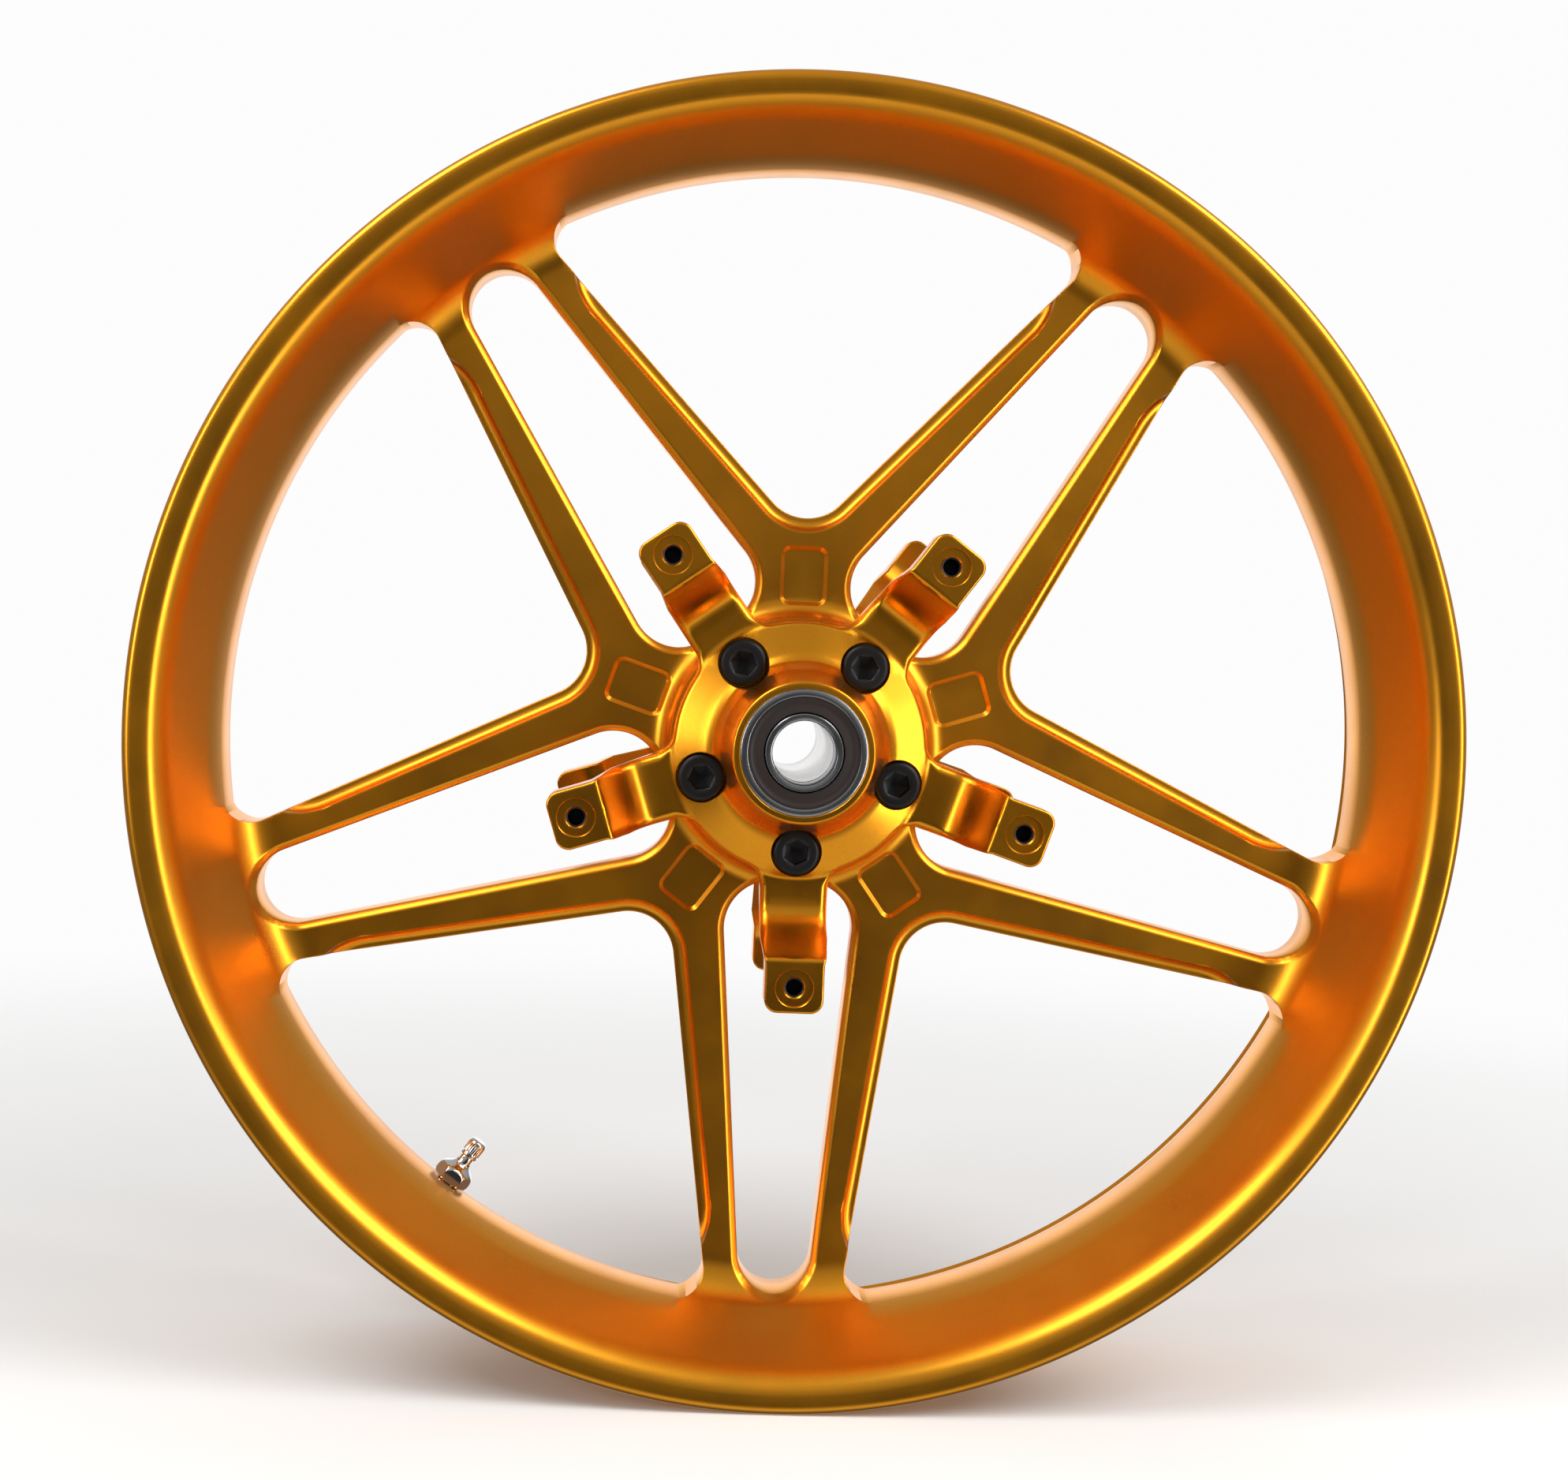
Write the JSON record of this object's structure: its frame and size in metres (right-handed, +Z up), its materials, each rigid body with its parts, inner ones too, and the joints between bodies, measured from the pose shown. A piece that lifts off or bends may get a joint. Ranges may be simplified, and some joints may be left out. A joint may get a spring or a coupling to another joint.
{
  "type": "racing wheel rim",
  "caption": "Forged racing wheel rim with paired spokes, drop-centre tyre seat, bolted brake disc carriers, sealed hub bearings and a screw-capped tyre valve.",
  "frame": {"origin": "centre of the wheel, on the axle line midway between the two disc faces", "axes": "the wheel spins about Y; the front (left) face looks along -Y; +Z is up, along one spoke pair's shared stem; +X is to the right seen from the front"},
  "size_m": [0.464, 0.112, 0.464],
  "materials": {
    "gold_anodised": "satin gold anodised forging",
    "black_oxide": "black oxide",
    "bearing_steel": "ground and polished",
    "seal_rubber": "matte moulded",
    "cage_polymer": "moulded",
    "bare_aluminium": "turned",
    "chrome_plate": "bright plated",
    "black_rubber": "matte",
    "brass": "turned"
  },
  "bodies": {
    "axle_sleeve": {"axle_spacer": "bare_aluminium", "left_bearing_inner_ring": "bearing_steel", "right_bearing_inner_ring": "bearing_steel"},
    "wheel": {"wheel_forging": "gold_anodised", "valve_stem": "chrome_plate", "valve_washer": "black_rubber", "valve_nut": "chrome_plate", "valve_core": "brass", "left_disc_carrier": "gold_anodised", "left_carrier_bolt_1": "black_oxide", "left_carrier_bolt_2": "black_oxide", "left_carrier_bolt_3": "black_oxide", "left_carrier_bolt_4": "black_oxide", "left_carrier_bolt_5": "black_oxide", "left_bearing_outer_ring": "bearing_steel", "left_bearing_outer_seal": "seal_rubber", "left_bearing_inner_seal": "seal_rubber", "right_disc_carrier": "gold_anodised", "right_carrier_bolt_1": "black_oxide", "right_carrier_bolt_2": "black_oxide", "right_carrier_bolt_3": "black_oxide", "right_carrier_bolt_4": "black_oxide", "right_carrier_bolt_5": "black_oxide", "right_bearing_outer_ring": "bearing_steel", "right_bearing_outer_seal": "seal_rubber", "right_bearing_inner_seal": "seal_rubber"},
    "left_ball_cage": {"left_bearing_cage": "cage_polymer", "left_bearing_ball_1": "bearing_steel", "left_bearing_ball_2": "bearing_steel", "left_bearing_ball_3": "bearing_steel", "left_bearing_ball_4": "bearing_steel", "left_bearing_ball_5": "bearing_steel", "left_bearing_ball_6": "bearing_steel", "left_bearing_ball_7": "bearing_steel", "left_bearing_ball_8": "bearing_steel", "left_bearing_ball_9": "bearing_steel"},
    "right_ball_cage": {"right_bearing_cage": "cage_polymer", "right_bearing_ball_1": "bearing_steel", "right_bearing_ball_2": "bearing_steel", "right_bearing_ball_3": "bearing_steel", "right_bearing_ball_4": "bearing_steel", "right_bearing_ball_5": "bearing_steel", "right_bearing_ball_6": "bearing_steel", "right_bearing_ball_7": "bearing_steel", "right_bearing_ball_8": "bearing_steel", "right_bearing_ball_9": "bearing_steel"},
    "cap_seal": {"valve_cap_seal": "black_rubber"},
    "cap": {"valve_cap": "chrome_plate"},
    "pin": {"valve_pin": "brass"}
  },
  "joints": [
    {"name": "wheel_spin", "type": "hinge", "parent": "axle_sleeve", "child": "wheel", "pos_m": [0, 0, 0], "axis": [0, 1, 0], "continuous": true},
    {"name": "left_cage_spin", "type": "hinge", "parent": "axle_sleeve", "child": "left_ball_cage", "pos_m": [0, -0.049, 0], "axis": [0, 1, 0], "continuous": true},
    {"name": "right_cage_spin", "type": "hinge", "parent": "axle_sleeve", "child": "right_ball_cage", "pos_m": [0, 0.049, 0], "axis": [0, 1, 0], "continuous": true},
    {"name": "cap_lift", "type": "slide", "parent": "wheel", "child": "cap_seal", "axis": [0.5878, 0, 0.809], "range_m": [0, 0.005]},
    {"name": "cap_unscrew", "type": "hinge", "parent": "cap_seal", "child": "cap", "pos_m": [-0.10933, 0, -0.15048], "axis": [0.5878, 0, 0.809], "range_deg": [0, 1702]},
    {"name": "pin_press", "type": "slide", "parent": "wheel", "child": "pin", "axis": [-0.5878, 0, -0.809], "range_m": [0, 0.001], "stiffness_N_per_m": 1500, "springref_m": -0.001}
  ],
  "couplings": [
    {"joint": "left_cage_spin", "follows": "wheel_spin", "ratio": 0.5944},
    {"joint": "right_cage_spin", "follows": "wheel_spin", "ratio": 0.5944},
    {"joint": "cap_unscrew", "follows": "cap_lift", "rad_per_m": 5938.7}
  ]
}
